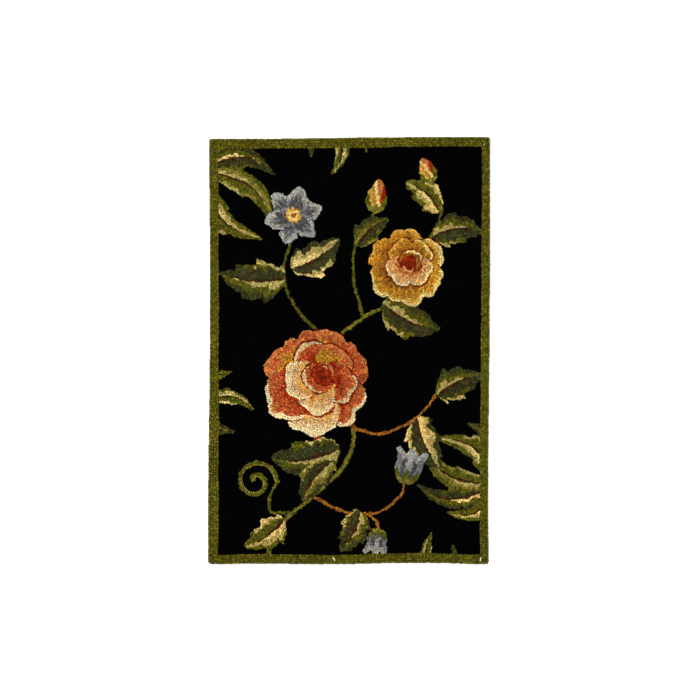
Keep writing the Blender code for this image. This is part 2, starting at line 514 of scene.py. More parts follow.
CORAL_FRONT = (
    Petal(0.31, 112, 0.34, 0.08, DEEP, "blush", 140),
    Petal(0.31, 46, 0.33, 0.10, OCHRE, "orange", 40),
    Petal(0.33, 336, 0.34, 0.12, FLAME, "blush", 310),
    Petal(0.33, 258, 0.35, 0.14, SHELL, "cream", 276),
    Petal(0.31, 190, 0.34, 0.10, SHELL, "cream", 214),
)
CORAL_HEART = (
    Wrap(0.04, 210, 0.27, "maroon", "coral", "blush"),
    Wrap(0.08, 40, 0.19, "maroon", "brick", "orange"),
    Wrap(0.11, 60, 0.10, "maroon", "brick", "peach"),
)
print("coral petals:", len(CORAL_BACK) + len(CORAL_FRONT))

# %% [markdown]
# ## The amber bloom
# A smaller rose in ambers. Six guard petals in ochre with straw lips lie behind, four apricot and
# gold ones wrap the heart, and the heart is crimson inside. Russet shadows part them.

# %% The amber bloom's petals
TOASTED = (Band(0, "russet"), Band(0.34, "brown"), Band(0.60, "amber"), Band(0.92, "gold"))
GOLDEN = (
    Band(0, "russet"), Band(0.26, "brown"), Band(0.46, "amber"), Band(0.74, "gold"),
    Band(0.98, "straw"),
)
APRICOT = (Band(0, "russet"), Band(0.20, "brown"), Band(0.34, "orange"), Band(0.52, "peach"))
AMBER_BACK = (
    Petal(0.52, 92, 0.44, 0.10, TOASTED, "gold", 70),
    Petal(0.53, 28, 0.45, 0.12, GOLDEN, "straw", 10),
    Petal(0.53, 152, 0.45, 0.12, TOASTED, None, 0),
    Petal(0.54, 328, 0.45, 0.16, GOLDEN, "straw", 318),
    Petal(0.54, 212, 0.46, 0.12, TOASTED, "straw", 236),
    Petal(0.54, 270, 0.46, 0.18, GOLDEN, "straw", 280),
)
AMBER_FRONT = (
    Petal(0.26, 40, 0.36, 0.06, TOASTED, "straw", 30),
    Petal(0.26, 126, 0.36, 0.08, TOASTED, "gold", 150),
    Petal(0.27, 316, 0.36, 0.10, APRICOT, "straw", 320),
    Petal(0.27, 222, 0.38, 0.10, APRICOT, "cream", 236),
)
AMBER_HEART = (
    Wrap(0.05, 60, 0.27, "russet", "brown", "straw"),
    Wrap(0.05, 240, 0.19, "maroon", "brick", "peach"),
    Wrap(0.02, 160, 0.14, "maroon", "maroon", "brick"),
)
print("amber petals:", len(AMBER_BACK) + len(AMBER_FRONT))

# %% [markdown]
# ## Blue flowers and amber buds
# The small motifs are seen from the front or the side and need only a few shades: a six-petalled
# star with a gold eye, a bell with three lips, and a rose bud in its sepals.

# %% Draw the small flowers
Flower = namedtuple("Flower", "x y size turn")


def draw_star(flower):
    """Each petal is a spindle, with a half width that is a power of sin(pi u^0.85) along it. Light
    and dark streaks run out along it, as zigzags of the place across, and its tip is pale."""
    x, y, size, turn = flower
    spot = around(x, y, 1.2 * size)
    for k in (0, 2, 4, 1, 3, 5):
        u, v = turned(spot, x, y, turn + 60 * k, size)
        half = 0.36 * np.sin(np.pi * np.clip(u, 0, 1) ** 0.85) ** 0.7 * (1 + 0.08 * np.sin(22 * u + k))
        t = share_of(v, half)
        petal = (u > 0) & (u < 1) & (np.abs(v) < half)
        behind = (u > 0.05) & (u < 1.04) & (np.abs(v) < half + 2.2 / size)
        streak = zigzag(6.5 * v + 0.35 * k + 0.4 * u)
        paint(
            spot,
            (behind & (board[spot] != NUMBER["black"]), "slate"),
            (petal, "blue"),
            (petal & (u > 0.34 + 0.3 * streak) & (t > 0.3), "mist"),
            (petal & (u > 0.86 - 0.12 * streak), "mist"),
            (petal & (u < 0.42 + 0.34 * streak) & (t < 0.62), "slate"),
        )
    dx, dy = BOARD_X[spot] - x, BOARD_Y[spot] - y
    distance = np.hypot(dx, dy) / size
    frill = 0.25 * (1 + 0.14 * np.cos(11 * np.arctan2(dy, dx)))
    paint(spot, (distance < frill, "gold"), (distance < 0.18, "straw"), (distance < 0.10, "brown"))


def draw_bell(flower):
    """Side on: the half width swells from the stalk and flares at the mouth, whose edge is a cosine
    across the bell. The sepals' edge is another cosine."""
    x, y, size, turn = flower
    spot = around(x, y, 1.3 * size)
    u, v = turned(spot, x, y, turn, size)
    s = np.clip(u, 0, 1)
    half = 0.16 + 0.22 * np.clip(s / 0.35, 0, 1) ** 0.6 + 0.16 * np.clip(2 * s - 1, 0, 1) ** 2
    lip = 0.80 + 0.17 * np.abs(np.cos(v / 0.54 * 1.5 * np.pi))
    t = v / half
    body = (u > 0.08) & (u < lip) & (np.abs(t) < 1)
    sepals = (u > -0.02) & (u < 0.26 + 0.12 * np.cos(2.5 * np.pi * t)) & (np.abs(v) < half + 0.02)
    paint(
        spot,
        (body, "blue"),
        (body & (u < 0.72) & (np.abs(np.abs(t) - 0.42) < 0.14), "slate"),
        (body & (u > 0.2) & (np.abs(t) < 0.16), "mist"),
        (body & (u > lip - 0.15 - 0.08 * zigzag(9 * v)), "mist"),
        (sepals, "moss"),
        (sepals & (u < 0.12), "fern"),
    )


def draw_bud(flower):
    """A drop, with a half width that is a power of sin(pi u^0.7). A slanting pale line parts the
    wrapped petals, and the sepals hug the lower half."""
    x, y, size, turn = flower
    spot = around(x, y, 1.3 * size)
    u, v = turned(spot, x, y, turn, size)
    half = 0.31 * np.sin(np.pi * np.clip(u, 0, 1) ** 0.7) ** 0.75
    body = (u > 0) & (u < 1) & (np.abs(v) < half)
    fold = v - 0.30 * (u - 0.55)
    paint(
        spot,
        (body, "orange"),
        (body & (fold > 0), "amber"),
        (body & (fold > 0.13), "gold"),
        (body & (np.abs(fold) < 0.045), "straw"),
        (body & (v < -0.12) & (u > 0.25), "brick"),
        (body & (u < 0.50 + 0.10 * zigzag(6 * v)) & (np.abs(v) > half * (0.15 + 1.2 * u)), "moss"),
        (body & (u < 0.2), "fern"),
    )


# %% [markdown]
# ## The border's width
# The olive border was worked by eye, so no side of it is quite as wide as another, and the left one
# grows wider towards the bottom. Four short tables give the width at places along each side, and
# the field is what lies inside all four.

# %% Measure in from the border
BORDER_LEFT = (np.array([-380.0, -150, -80, 380]), np.array([18.6, 18.2, 16.2, 15.8]))
BORDER_RIGHT = (np.array([-380.0, -60, 120, 380]), np.array([14.6, 15.2, 15.4, 14.0]))
BORDER_BOTTOM = (np.array([-250.0, 250]), np.array([16.8, 17.2]))
BORDER_TOP = (np.array([-250.0, 0, 250]), np.array([17.6, 18.2, 17.2]))


def field_inset(x, y):
    """Distance in from the border's inner line: the least of the four distances to the sides, each
    less the border's width there."""
    left, right, bottom, top = from_sides(x, y)
    return np.minimum.reduce([
        left - np.interp(y, *BORDER_LEFT), right - np.interp(y, *BORDER_RIGHT),
        bottom - np.interp(x, *BORDER_BOTTOM), top - np.interp(x, *BORDER_TOP),
    ])


# %% [markdown]
# ## The layout
# One long stem climbs through the rug in an S and carries both blooms. Branches leave it to the
# star, the bells and the buds. The tables place each motif in millimetres from the rug's middle,
# with turns in degrees from the rug's right-hand side.

# %% Draw the whole design
FANS = (
    Fan(-262, 318, -24, 158, 140, 5, 4),
    Fan(262, -236, 164, 146, 120, 5, 9),
    Fan(-30, 402, -80, 96, 110, 3, 12),
    Fan(-262, -96, 4, 100, 110, 3, 15),
    Fan(160, -402, 108, 84, 110, 3, 18),
)
STEMS = (
    Stem(9.0, 6.0, "moss", "fern", (
        (-150, -388), (-128, -320), (-66, -262), (-8, -205), (8, -140),
        (-30, -60), (-30, 10), (26, 60), (92, 96), (110, 150),
    )),
    Stem(6.2, 4.8, "brown", None, ((8, -140), (60, -150), (120, -122), (160, -76))),
    Stem(6.2, 4.8, "moss", None, ((-30, 10), (-90, 70), (-118, 130), (-108, 190), (-96, 232))),
    Stem(5.8, 4.6, "moss", None, ((26, 60), (8, 130), (14, 200), (46, 250))),
    Stem(5.8, 4.6, "brown", None, ((-66, -262), (-10, -290), (50, -292), (92, -262), (100, -236))),
    Stem(5.2, 4.4, "brown", None, ((30, -293), (50, -308), (52, -326))),
    Stem(5.8, 4.6, "moss", None, ((110, 150), (150, 210), (168, 262), (150, 306))),
    Stem(5.8, 5.0, "moss", None, ((-100, -292), (-140, -290), (-142, -262), (-130, -238))),
)
SCROLLS = (
    Scroll(-168, -236, 0, 39, 1, 1.4),
)
LEAVES = (
    Leaf(-16, -176, 188, 128, 82, 12, "moss", "pine", "sage", 3),
    Leaf(-30, -200, 234, 92, 56, -9, "fern", "pine", "sage", 3),
    Leaf(158, -80, 24, 90, 64, 6, "moss", "pine", "sage", 3),
    Leaf(124, -120, -66, 102, 66, -9, "sage", "pine", "straw", 3),
    Leaf(-112, 130, 176, 122, 78, 9, "moss", "pine", "sage", 3),
    Leaf(-104, 148, 32, 104, 68, -9, "sage", "pine", "straw", 3),
    Leaf(14, 190, 40, 76, 48, 7, "moss", "pine", "fern", 2),
    Leaf(150, 206, 6, 92, 62, 9, "moss", "pine", "sage", 3),
    Leaf(163, 250, 138, 84, 52, -8, "sage", "moss", "straw", 3),
    Leaf(20, -288, -116, 84, 56, 7, "moss", "pine", "sage", 3),
    Leaf(-116, -304, 214, 88, 58, 7, "sage", "moss", "straw", 3),
    Leaf(60, 86, -24, 116, 72, -10, "moss", "pine", "sage", 3),
)
BLOOMS = (
    Bloom(-58, -56, 103, 0.06, 0.09, CORAL_BACK, CORAL_FRONT, CORAL_HEART, 11, 61),
    Bloom(104, 152, 73, 0.08, 0.10, AMBER_BACK, AMBER_FRONT, AMBER_HEART, 71, 91),
)
STARS = (Flower(-100, 244, 54, 15),)
BELLS = (Flower(100, -238, 64, 75), Flower(53, -322, 48, -98))
BUDS = (Flower(45, 248, 62, 80), Flower(150, 302, 50, 112))

# From the bottom layer to the top one
LAYERS = (
    (draw_fan, FANS), (draw_stem, STEMS), (draw_scroll, SCROLLS), (draw_leaf, LEAVES),
    (draw_bloom, BLOOMS), (draw_star, STARS), (draw_bell, BELLS), (draw_bud, BUDS),
)
for draw, motifs in LAYERS:
    for motif in motifs:
        draw(motif)

print("share of the board under motifs:", round(float((board > 1).mean()), 2))

# %% [markdown]
# ## The hooker's hand
# Nobody hooks exactly on the drawn line: a loop comes up through the nearest hole of the canvas, so
# every edge of a colour steps in and out by part of a loop. Here the drawing is read back at places
# that stray a little, by noise whose waves are about a loop long. Blurring turns white noise into
# such waves, and it is done on the picture's spectrum, where it is a single multiplication. The
# border is worked last, along a line, and strays less.

# %% Let the hand stray, and add the border
HAND = 0.75  # the usual distance from the drawn line
cycles_across = np.fft.rfftfreq(board.shape[1], SQUARE)
cycles_along = np.fft.fftfreq(board.shape[0], SQUARE)
CYCLES_SQUARED = cycles_across[None, :] ** 2 + cycles_along[:, None] ** 2


def blurred(picture, reach):
    """A blur with the weights of a bell curve: the picture's spectrum times
    exp(-2 pi^2 reach^2 frequency^2)."""
    spectrum = np.fft.rfft2(picture) * np.exp(-2 * np.pi**2 * reach**2 * CYCLES_SQUARED)
    return np.fft.irfft2(spectrum, s=picture.shape)


def stray(seed, reach=1.7):
    """White noise, blurred, and scaled so that its spread is the hand's."""
    waves = blurred(np.random.default_rng(seed).normal(0, 1, board.shape), reach)
    return HAND * waves / waves.std()


stray_x, stray_y = stray(5), stray(6)
board = board[square_at(BOARD_X + stray_x, BOARD_Y + stray_y)]

board_inset, board_field = inset(BOARD_X, BOARD_Y), field_inset(BOARD_X, BOARD_Y)
hem_wave = 0.4 * np.sin(BOARD_X / 17 + BOARD_Y / 29) + 0.3 * np.sin(BOARD_Y / 11 - BOARD_X / 37)
board[board_field < hem_wave + 0.3 * stray_x] = NUMBER["olive"]
board[board_inset <= 0] = OUTSIDE
print("share of the field under motifs:", round(float((board[board_field > 0] > 1).mean()), 2))

# %% [markdown]
# ## Tidy the drawing, and find the way the rows run
# A hooker can't work a speck smaller than a loop, so each square takes the yarn that is commonest
# round it. Rows are worked alongside the edges of each colour, first round its outline and then
# inwards. Each place therefore looks at all colour edges, the nearest counting by far the most, and
# takes the direction that points most squarely at them.

# %% Smooth the yarn areas and build the row field
SPECK = 1.1  # the reach of the blur in which a square finds its commonest yarn
SOFTNESS = 3.0  # edges nearer than this count no more than at this distance


def pulled(picture):
    """Each square's sum over the whole picture, weighted by 1 / (distance^2 + softness^2)^1.5."""
    step_x = np.minimum(across - across[0], across[-1] - across + SQUARE)
    step_y = np.minimum(along - along[0], along[-1] - along + SQUARE)
    weight = (step_x[None, :] ** 2 + step_y[:, None] ** 2 + SOFTNESS**2) ** -1.5
    return np.fft.irfft2(np.fft.rfft2(picture) * np.fft.rfft2(weight), s=picture.shape)


commonest = np.full(board.shape, -np.inf)
tidy_board = board.copy()
slope_xx, slope_yy, slope_xy = (np.zeros(board.shape) for _ in range(3))
for number in range(OUTSIDE, len(YARNS)):
    share = blurred(board == number, SPECK)
    along_slope, across_slope = np.gradient(share, SQUARE)
    slope_xx += across_slope**2
    slope_yy += along_slope**2
    slope_xy += across_slope * along_slope
    more = share > commonest
    commonest[more] = share[more]
    tidy_board[more] = number
inside = board_inset > 0
tidy_board[~inside] = OUTSIDE
tidy_board[inside & (tidy_board == OUTSIDE)] = NUMBER["olive"]
bar_angle = 0.5 * np.arctan2(2 * pulled(slope_xy), pulled(slope_xx) - pulled(slope_yy))
BAR_COS, BAR_SIN = np.cos(bar_angle), np.sin(bar_angle)
print("squares that changed yarn:", int((tidy_board != board).sum()))

# %% [markdown]
# ## Place the loops
# On the canvas the loops share out the room between them, in rounds: every square goes to its
# nearest loop of the same yarn, every loop moves to the middle of its squares, and this is done
# again until they sit evenly. Nearness is measured with a stretched ruler, so that a loop's patch
# is a bar, wider than it is long and lying across its row. The border is started in straight rows,
# as it is hooked, and the rest from an even scatter.

# %% Start the loops
BAR = 4.3  # a patch's size across the row
PITCH = 3.0  # and along the row, from one loop to the next
PATCH = BAR * PITCH
BORDER_ROWS = 4
BORDER_WIDTH = 18.0  # about what the border measures
ROW_GAP = 4  # how far a row along an end keeps from those along the sides
BORDER_SHAKE, FIELD_SHAKE = 1.2, 0.12  # in millimetres, and as a share of the lattice's step
TRIANGLE = 0.866  # a lattice's rows are this share of its step apart
SIGHT = int(np.ceil(5.6 / SQUARE))  # a loop looks this many squares round itself
dice = np.random.default_rng(41)


def border_seeds():
    """Points on lines that follow the outline, evenly spaced over the border's width, each point
    shaken a little, because the rows of the border aren't counted out."""
    seeds = []
    for row in range(BORDER_ROWS):
        deep = (row + 0.5) / BORDER_ROWS
        step, start = BORDER_WIDTH * deep, 0.4 * PITCH * (row % 2)
        y = np.arange(step - REACH[1], REACH[1] - step, PITCH) + start
        x = np.arange(step + ROW_GAP - REACH[0], REACH[0] - step - ROW_GAP, PITCH) + start
        seeds += [
            (np.interp(y, *LEFT) + deep * np.interp(y, *BORDER_LEFT), y),
            (np.interp(y, *RIGHT) - deep * np.interp(y, *BORDER_RIGHT), y),
            (x, np.interp(x, *BOTTOM) + deep * np.interp(x, *BORDER_BOTTOM)),
            (x, np.interp(x, *TOP) - deep * np.interp(x, *BORDER_TOP)),
        ]
    seeds = np.hstack(seeds).T
    return seeds + dice.normal(0, BORDER_SHAKE, seeds.shape)


def field_seeds():
    """A lattice of triangles with one point to each patch, every point shaken a little."""
    step = np.sqrt(PATCH * 2 / np.sqrt(3))
    columns = np.arange(across[0], across[-1], step)
    x, y = np.meshgrid(columns, np.arange(along[0], along[-1], step * TRIANGLE))
    x = x + 0.5 * step * (np.arange(len(x)) % 2)[:, None]
    points = np.stack([x.ravel(), y.ravel()], 1) + dice.normal(0, FIELD_SHAKE * step, (x.size, 2))
    return points[field_inset(*points.T) > 1]


def square_of(points):
    """The board's square under each point, as one number."""
    row, column = square_at(*points.T)
    return row * len(across) + column


FLAT_YARN = tidy_board.ravel()
FLAT_X, FLAT_Y = BOARD_X.ravel(), BOARD_Y.ravel()
FLAT_COS, FLAT_SIN = BAR_COS.ravel(), BAR_SIN.ravel()
offsets = np.stack(np.meshgrid(*[np.arange(-SIGHT, SIGHT + 1)] * 2), -1).reshape(-1, 2)
OFFSETS = offsets[(offsets**2).sum(1) <= SIGHT**2]


def share_out(points, yarns):
    """Gives each square to the nearest loop of its yarn. The distance squared is that across the
    row over half a bar, squared, plus that along the row over half a pitch, squared. A square that
    is far off to the side belongs to the board's next line, past its edge, and isn't taken."""
    home = square_of(points)
    cos, sin = FLAT_COS[home], FLAT_SIN[home]
    nearest = np.full(board.size, np.inf)
    owner = np.full(board.size, -1)
    numbers = np.arange(len(points))
    for right, up in OFFSETS:
        square = home + up * len(across) + right
        reachable = (square >= 0) & (square < board.size)
        square = np.where(reachable, square, 0)
        dx, dy = FLAT_X[square] - points[:, 0], FLAT_Y[square] - points[:, 1]
        far = ((dx * cos + dy * sin) / (BAR / 2)) ** 2 + ((dy * cos - dx * sin) / (PITCH / 2)) ** 2
        same_line = np.abs(dx) < 7
        wins = reachable & same_line & (FLAT_YARN[square] == yarns) & (far < nearest[square])
        nearest[square[wins]] = far[wins]
        owner[square[wins]] = numbers[wins]
    return owner


def middles(owner, points):
    """The mean place of each loop's squares, and how many there are."""
    held = owner >= 0
    count = np.bincount(owner[held], minlength=len(points))
    x = np.bincount(owner[held], FLAT_X[held], len(points)) / np.maximum(count, 1)
    y = np.bincount(owner[held], FLAT_Y[held], len(points)) / np.maximum(count, 1)
    return np.stack([x, y], 1), count


points = np.vstack([border_seeds(), field_seeds()])
points = points[FLAT_YARN[square_of(points)] != OUTSIDE]
yarns = FLAT_YARN[square_of(points)]
print("loops to start with:", len(points))

# %% Let the loops settle
ROUNDS = 13
MENDING_ROUNDS = (3, 6, 9)  # when wide patches are split and squares without a loop get one
FULL = PATCH / SQUARE**2  # squares in a patch
SMALLEST, WIDEST = 0.3 * FULL, 1.5 * FULL
EVERY = 4  # new loops start on every fourth missed square each way
for turn in range(ROUNDS):
    owner = share_out(points, yarns)
    moved, count = middles(owner, points)
    if turn == ROUNDS - 1:
        break
    points, kept = moved, count > SMALLEST
    if turn in MENDING_ROUNDS:
        home = square_of(points)
        heading = np.stack([FLAT_COS[home], FLAT_SIN[home]], 1)
        crowded = count > WIDEST
        halves = points[crowded] + 0.5 * PITCH * heading[crowded][:, ::-1] * (-1, 1)
        missed = np.flatnonzero((owner < 0) & (FLAT_YARN != OUTSIDE))
        missed = missed[(missed // len(across) % EVERY == 0) & (missed % len(across) % EVERY == 0)]
        gaps = np.stack([FLAT_X[missed], FLAT_Y[missed]], 1)
        extra = np.concatenate([yarns[crowded], FLAT_YARN[missed]])
        points = np.vstack([points[kept], halves, gaps])
        yarns = np.concatenate([yarns[kept], extra])
print("loops:", len(points), "with patches from", count.min(), "to", count.max(), "squares")

# %% [markdown]
# ## Fit a bar to each patch
# The spread of a patch's squares about their middle says how long, how wide and how turned the
# patch is. For a solid ellipse the half length is twice the spread, and for a rectangle it is 1.73
# times, so a rounded bar takes a value between them.

# %% Measure the patches
FIT = 1.86
LEAST = 0.12 * FULL  # a loop with fewer squares is dropped
ROW_TRUST = 0.35  # how much the row's direction counts beside a patch's own shape
held = owner >= 0
whose = owner[held]
size = np.maximum(count, 1)
from_x, from_y = FLAT_X[held] - moved[whose, 0], FLAT_Y[held] - moved[whose, 1]


def spread(a, b):
    """The mean product of two distances over each patch."""
    return np.bincount(whose, a * b, len(points)) / size


spread_xx = spread(from_x, from_x) + SQUARE**2 / 12
spread_yy = spread(from_y, from_y) + SQUARE**2 / 12
spread_xy = spread(from_x, from_y)
home = square_of(moved)
prior = ROW_TRUST * ((BAR / 2) ** 2 - (PITCH / 2) ** 2) / 3
lean_xx = spread_xx + prior * FLAT_COS[home] ** 2
lean_yy = spread_yy + prior * FLAT_SIN[home] ** 2
lean_xy = spread_xy + prior * FLAT_COS[home] * FLAT_SIN[home]
turns = 0.5 * np.arctan2(2 * lean_xy, lean_xx - lean_yy)
cos, sin = np.cos(turns), np.sin(turns)
cross = 2 * spread_xy * cos * sin
half_long = FIT * np.sqrt(spread_xx * cos**2 + spread_yy * sin**2 + cross)
half_short = FIT * np.sqrt(np.maximum(spread_xx * sin**2 + spread_yy * cos**2 - cross, 0.1))
alive = count > LEAST
print("bars in mm:", (2 * np.median(half_long)).round(2), "by", (2 * np.median(half_short)).round(2))

# %% [markdown]
# ## The shape of a loop
# From above, a loop of yarn is a short rounded bar; from the side it is an arch whose legs go down
# into the canvas. Loops are packed so tightly that they press on each other, and only a shallow
# groove parts them. One small closed shape serves for all of them: a pole at the top, a ring of
# eight points at the shoulder, and a base that is sunk in the canvas and spreads under its
# neighbours, as the squeezed foot of a loop does. There are very many loops, so thirty triangles
# each have to do. All loops are worked out at once, as an array of loops by points.

# %% One loop as a template
AROUND = 8
Ring = namedtuple("Ring", "out up map")
RINGS = (Ring(0.85, 0.82, 0.28), Ring(1.30, 0.0, 0.44))
SQUARENESS = 3.0
ROOT = 1.2  # height of a loop's base, inside the canvas

ring_angles = 2 * np.pi * (np.arange(AROUND) + 0.5) / AROUND
plan = np.abs(np.cos(ring_angles)) ** SQUARENESS + np.abs(np.sin(ring_angles)) ** SQUARENESS
plan = plan ** (-1 / SQUARENESS)
TEMPLATE_OUT = np.concatenate([[0], *[ring.out * plan for ring in RINGS]])
TEMPLATE_UP = np.concatenate([[1], *[np.full(AROUND, ring.up) for ring in RINGS]])
TEMPLATE_MAP = np.concatenate([[0], *[np.full(AROUND, ring.map) for ring in RINGS]])
TEMPLATE_ANGLE = np.concatenate([[0], *[ring_angles] * len(RINGS)])


def template_faces():
    """The fan under the pole, a belt of four-sided faces down to each next ring, and the base, as
    one list of corners and one of face sizes."""
    here = np.arange(AROUND)
    after = (here + 1) % AROUND
    fan = np.stack([0 * here, 1 + here, 1 + after], 1)
    firsts = 1 + AROUND * np.arange(len(RINGS))
    belts = [
        np.stack([first + here, first + AROUND + here, first + AROUND + after, first + after], 1)
        for first in firsts[:-1]
    ]
    base = (firsts[-1] + here)[::-1]
    corners = np.concatenate([fan.ravel(), *[belt.ravel() for belt in belts], base])
    sizes = np.concatenate([np.full(AROUND, 3), np.full(AROUND * len(belts), 4), [AROUND]])
    return corners, sizes


CORNERS, SIZES = template_faces()
FACES_PER_LOOP = int((SIZES - 2).sum())
BASE_CORNERS = np.arange(len(CORNERS)) >= len(CORNERS) - AROUND
print("triangles in a loop:", FACES_PER_LOOP, "in all:", FACES_PER_LOOP * int(alive.sum()))


# %% [markdown]
# ## Pull up the loops
# No two loops are alike. Each gets its own height, lean and turn, and its yarn's shade drifts: a
# little from loop to loop, partly as the dye does and partly as painted shade for the dark gaps
# between loops, and a little over the rug. Three maps go with the mesh: the colour of each loop, its
# yarn coordinates in millimetres for the twist of the plies, and a flat layout in which every loop
# has its own square, for baking.

# %% Build pieces of loops
HEIGHT_SPREAD, LEAN_SPREAD, TURN_SPREAD, LENGTH_SPREAD = 0.48, 0.30, 0.25, 0.05
OVERLAP = 1.06  # a bar's length over its patch's, because loops of neighbouring rows interlock
SPLAY = 1.7  # how far the outermost loops lean over the edge
OUTER_ROW = 4.5
DARK_DYE_AND_SHADOW_SPREAD, PALE_DYE_AND_SHADOW_SPREAD = 0.46, 0.08  # how uneven the darkest and the palest loops are: partly dye, partly painted shade for the gaps
SHADE_LIMITS = (-1.5, 1.4)  # the darkest and the lightest odd loop, in spreads
WARMTH_SPREAD = 0.03


def splay(x, y):
    """How far loops lean outwards: down the slope of the inset, by a share that falls from 1 at the
    outline to 0 one row in."""
    slope = np.stack([inset(x + 0.5, y) - inset(x - 0.5, y), inset(x, y + 0.5) - inset(x, y - 0.5)])
    return -SPLAY * np.clip(1 - inset(x, y) / OUTER_ROW, 0, 1) * slope


def loop_points(chosen):
    """Corner places of the chosen loops, in millimetres: out from the loop's middle along the
    ring's plan, turned, leaned in proportion to the height, and raised to the pile's top there.
    Loops of the outer row hold each other straight, so they lean at random much less."""
    count = len(chosen)
    angle = turns[chosen] + dice.normal(0, TURN_SPREAD, count)
    cos, sin = np.cos(angle)[:, None], np.sin(angle)[:, None]
    stretch = OVERLAP * (1 + dice.normal(0, LENGTH_SPREAD, count))
    u = (stretch * half_long[chosen])[:, None] * TEMPLATE_OUT * np.cos(TEMPLATE_ANGLE)
    v = half_short[chosen][:, None] * TEMPLATE_OUT * np.sin(TEMPLATE_ANGLE)
    steady = np.clip(inset(*moved[chosen].T) / OUTER_ROW, 0.2, 1)
    lean = steady * dice.normal(0, LEAN_SPREAD, (2, count)) + splay(*moved[chosen].T)
    x = moved[chosen, 0][:, None] + u * cos - v * sin + lean[0][:, None] * TEMPLATE_UP
    y = moved[chosen, 1][:, None] + u * sin + v * cos + lean[1][:, None] * TEMPLATE_UP
    lift = -np.abs(dice.normal(0, HEIGHT_SPREAD, count))[:, None]
    z = ROOT + (pile_top(x, y) + lift - ROOT) * TEMPLATE_UP
    return np.stack([x, y, z], -1), np.stack([u, v], -1)


def loop_colours(chosen):
    """The yarn's colour times a shade that is drawn for each loop and drifts slowly over the rug,
    with a slight warm or cool cast. The shade drawn for each loop is partly uneven dye and partly
    painted shade that stands for the dark gaps between loops. The spread of the shades falls evenly
    from the darkest dye to the palest, by the mean of their screen values, and odd loops are left
    out by a limit."""
    x, y = moved[chosen].T
    drift = 0.05 * np.sin(x / 31 + 2 * np.sin(y / 67)) + 0.04 * np.sin(y / 23 + 1.7)
    spread = DARK_DYE_AND_SHADOW_SPREAD + (PALE_DYE_AND_SHADOW_SPREAD - DARK_DYE_AND_SHADOW_SPREAD) * LIGHTNESS[yarns[chosen]]
    # each loop's odd shade is partly uneven dye and partly painted shade for the gaps between loops
    odd = np.clip(dice.normal(0, 1, len(chosen)), *SHADE_LIMITS)
    shade = np.exp(spread * odd + drift)[:, None]
    warmth = 0.03 * np.sin(y / 29 + 1.5 * np.sin(x / 41)) + dice.normal(0, WARMTH_SPREAD, len(chosen))
    cast = np.exp(warmth[:, None] * (1, -0.4, -2))
    return np.clip(DYES[yarns[chosen]] * shade * cast, 0, 1)


def new_object(name, data):
    """Links a new object into the scene, at the origin."""
    made = bpy.data.objects.new(name, data)
    bpy.context.scene.collection.objects.link(made)
    return made


def fill(items, key, values, kind=np.float32):
    """Writes an array over one property of all the items of a mesh."""
    items.foreach_set(key, np.asarray(values, kind).ravel())


def make_loops(name, chosen, material):
    """One mesh of all the chosen loops, with its colours and maps."""
    places, strand = loop_points(chosen)
    count, per_loop = places.shape[:2]
    corners = CORNERS[None, :] + per_loop * np.arange(count)[:, None]
    sizes = np.tile(SIZES, count)
    mesh = bpy.data.meshes.new(name)
    mesh.vertices.add(count * per_loop)
    mesh.loops.add(corners.size)
    mesh.polygons.add(len(sizes))
    fill(mesh.vertices, "co", places * MM)
    fill(mesh.loops, "vertex_index", corners, np.int32)
    fill(mesh.polygons, "loop_start", np.cumsum(sizes) - sizes, np.int32)
    fill(mesh.polygons, "use_smooth", np.ones(len(sizes)), bool)
    mesh.update(calc_edges=True)
    colours = np.ones((count, per_loop, 4))
    colours[..., :3] = loop_colours(chosen)[:, None, :]
    twist = strand[:, CORNERS] + dice.uniform(0, 50, (count, 1, 2))
    fill(mesh.attributes.new("yarn_colour", "FLOAT_COLOR", "POINT").data, "color", colours)
    fill(mesh.uv_layers.new(name="Yarn").uv, "vector", twist)
    fill(mesh.uv_layers.new(name="OFBake").uv, "vector", bake_layout(count))
    mesh.materials.append(material)
    return new_object(name, mesh)


def bake_layout(count):
    """Each loop's own square in a square sheet: its rings laid out flat as circles about the pole,
    and its base as a small disc in the square's corner."""
    side = int(np.ceil(np.sqrt(count)))
    radius = TEMPLATE_MAP[CORNERS]
    angle = TEMPLATE_ANGLE[CORNERS]
    flat = 0.5 + np.stack([radius * np.cos(angle), radius * np.sin(angle)], 1)
    flat[BASE_CORNERS] = 0.93 + (flat[BASE_CORNERS] - 0.5) * 0.1
    squares = np.stack([np.arange(count) % side, np.arange(count) // side], 1)
    return (flat[None] + squares[:, None]) / side


# %% [markdown]
# ## Shader nodes
# Each material is a small graph of shader nodes. A few functions start a material, add a node to
# its graph and fill the node's inputs, so that every recipe below reads as a list of steps.

# %% Put shader nodes together
def fill_inputs(node, inputs):
    """Links each input that is given another node's output, and sets the others to their value."""
    for key, value in inputs.items():
        if isinstance(value, bpy.types.NodeSocket):
            node.id_data.links.new(value, node.inputs[key])
        else:
            node.inputs[key].default_value = value


def add_node(tree, kind, output, inputs, **settings):
    """A new node with its settings and inputs. Returns the output that other nodes take."""
    node = tree.nodes.new("ShaderNode" + kind)
    for name, value in settings.items():
        setattr(node, name, value)
    fill_inputs(node, inputs)
    return node.outputs[output]


def ranged(tree, value, low, high, start=0.0, end=1.0):
    """A value carried over from the range of start to end to the range of low to high."""
    limits = {"From Min": start, "From Max": end, "To Min": low, "To Max": high}
    return add_node(tree, "MapRange", "Result", {"Value": value, **limits})


def new_material(name):
    """A material, its tree of nodes and its shader."""
    material = bpy.data.materials.new(name)
    material.use_nodes = True
    return material, material.node_tree, material.node_tree.nodes["Principled BSDF"]
